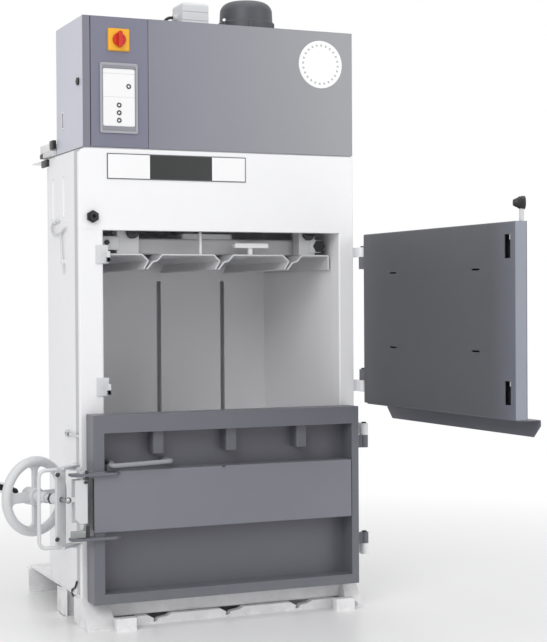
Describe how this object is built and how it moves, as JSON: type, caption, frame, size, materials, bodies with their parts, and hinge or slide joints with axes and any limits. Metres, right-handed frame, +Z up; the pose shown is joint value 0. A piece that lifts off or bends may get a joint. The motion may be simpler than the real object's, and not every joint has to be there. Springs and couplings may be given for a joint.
{
  "type": "recycling baler",
  "caption": "Vertical cardboard baler with hinged loading doors, handwheel door lock, hydraulic platen and control head.",
  "frame": {"origin": "on the floor, on the body's middle plane, in the plane of the front posts", "axes": "+Z up, -Y towards the front with the doors, +X to the right as seen from the front"},
  "size_m": [1.3399, 1.6717, 2.031],
  "materials": {
    "white_paint": "satin powder coat",
    "grey_paint": "fine textured powder coat",
    "dark_paint": "satin",
    "light_paint": "satin",
    "light_plastic": "matt",
    "black_plastic": "matt",
    "yellow_plastic": "satin",
    "red_plastic": "satin",
    "steel": "bare",
    "chrome_steel": "polished"
  },
  "bodies": {
    "frame": {"base_plate": "white_paint", "base_feet": "white_paint", "front_feet": "white_paint", "front_bar": "white_paint", "sill": "white_paint", "chamber_floor": "white_paint", "chamber_walls": "white_paint", "chamber_rear": "white_paint", "rear_ribs": "white_paint", "left_post": "white_paint", "right_post": "white_paint", "fascia": "white_paint", "side_covers": "white_paint", "top_deck": "white_paint", "cylinder_beam": "white_paint", "cylinder_barrel": "dark_paint", "head_shell": "grey_paint", "hood_front": "grey_paint", "control_box": "light_plastic", "power_unit": "dark_paint", "fan_cowl": "dark_paint", "hydraulic_pipes": "steel", "terminal_box": "light_paint", "box_cable": "black_plastic", "frame_knuckles": "white_paint", "hinge_pins": "steel", "latch_catches": "dark_paint", "label_plates": "light_plastic", "hex_sensor": "black_plastic", "lock_bracket": "white_paint"},
    "side_lock": {"side_lock": "black_plastic"},
    "cabinet_door": {"cabinet_door": "grey_paint", "keypad_frame": "grey_paint", "keypad_membrane": "light_plastic", "switch_plate": "yellow_plastic"},
    "main_switch": {"switch_handle": "red_plastic"},
    "key_1": {"key_1": "light_plastic"},
    "key_2": {"key_2": "light_plastic"},
    "key_3": {"key_3": "light_plastic"},
    "key_4": {"key_4": "light_plastic"},
    "upper_door": {"upper_door_tray": "grey_paint", "upper_door_skin": "grey_paint", "door_lip": "grey_paint"},
    "latch_rod": {"latch_rod": "grey_paint", "rod_cone": "black_plastic"},
    "lower_door": {"lower_door_skin": "grey_paint", "lower_door_rim": "grey_paint", "lower_door_band": "grey_paint", "strap_clips": "grey_paint", "door_handle": "grey_paint", "door_claws": "grey_paint", "link_channel": "white_paint"},
    "lock_frame": {"lock_bar": "white_paint"},
    "pull_rod": {"pull_rod": "steel"},
    "handwheel": {"handwheel": "light_paint"},
    "crank_grip": {"crank_grip": "black_plastic"},
    "platen": {"platen_sections": "white_paint", "platen_beams": "white_paint", "guide_arms": "white_paint", "piston_rod": "chrome_steel"}
  },
  "joints": [
    {"name": "upper_door_hinge", "type": "hinge", "parent": "frame", "child": "upper_door", "pos_m": [0.4975, -0.02, 0], "axis": [0, 0, 1], "range_deg": [-91.3, 85]},
    {"name": "latch_rod_slide", "type": "slide", "parent": "upper_door", "child": "latch_rod", "axis": [0, 0, 1], "range_m": [-0.025, 0]},
    {"name": "lower_door_hinge", "type": "hinge", "parent": "frame", "child": "lower_door", "pos_m": [0.4975, -0.02, 0], "axis": [0, 0, 1], "range_deg": [0, 90]},
    {"name": "lock_frame_swing", "type": "hinge", "parent": "frame", "child": "lock_frame", "pos_m": [-0.503, 0.01, 0.39], "axis": [0, 0, 1], "range_deg": [0, 12]},
    {"name": "handwheel_spin", "type": "hinge", "parent": "lock_frame", "child": "handwheel", "pos_m": [-0.6143, 0.06891, 0.417], "axis": [-0.4067, 0.9135, 0], "range_deg": [0, 1080]},
    {"name": "pull_rod_slide", "type": "slide", "parent": "lock_frame", "child": "pull_rod", "axis": [-0.4067, 0.9135, 0], "range_m": [0, 0.0151]},
    {"name": "crank_grip_fold", "type": "hinge", "parent": "handwheel", "child": "crank_grip", "pos_m": [-0.72799, 0.0577, 0.45223], "axis": [0.2823, 0.1257, 0.9511], "range_deg": [0, 90]},
    {"name": "platen_slide", "type": "slide", "parent": "frame", "child": "platen", "axis": [0, 0, 1], "range_m": [-0.58, 0]},
    {"name": "cabinet_door_hinge", "type": "hinge", "parent": "frame", "child": "cabinet_door", "pos_m": [-0.2525, -0.002, 1.718], "axis": [0, 0, 1], "range_deg": [0, 100]},
    {"name": "main_switch_turn", "type": "hinge", "parent": "cabinet_door", "child": "main_switch", "pos_m": [-0.352, -0.001, 1.851], "axis": [0, -1, 0], "range_deg": [0, 90]},
    {"name": "side_lock_turn", "type": "hinge", "parent": "frame", "child": "side_lock", "pos_m": [-0.47, 0.044, 1.7206], "axis": [1, 0, 0], "range_deg": [0, 90]},
    {"name": "key_1_press", "type": "slide", "parent": "cabinet_door", "child": "key_1", "axis": [0, 1, 0], "range_m": [0, 0.001], "stiffness_N_per_m": 900},
    {"name": "key_2_press", "type": "slide", "parent": "cabinet_door", "child": "key_2", "axis": [0, 1, 0], "range_m": [0, 0.001], "stiffness_N_per_m": 900},
    {"name": "key_3_press", "type": "slide", "parent": "cabinet_door", "child": "key_3", "axis": [0, 1, 0], "range_m": [0, 0.001], "stiffness_N_per_m": 900},
    {"name": "key_4_press", "type": "slide", "parent": "cabinet_door", "child": "key_4", "axis": [0, 1, 0], "range_m": [0, 0.001], "stiffness_N_per_m": 900}
  ],
  "couplings": [
    {"joint": "pull_rod_slide", "follows": "handwheel_spin", "m_per_rad": 0.00079577}
  ]
}
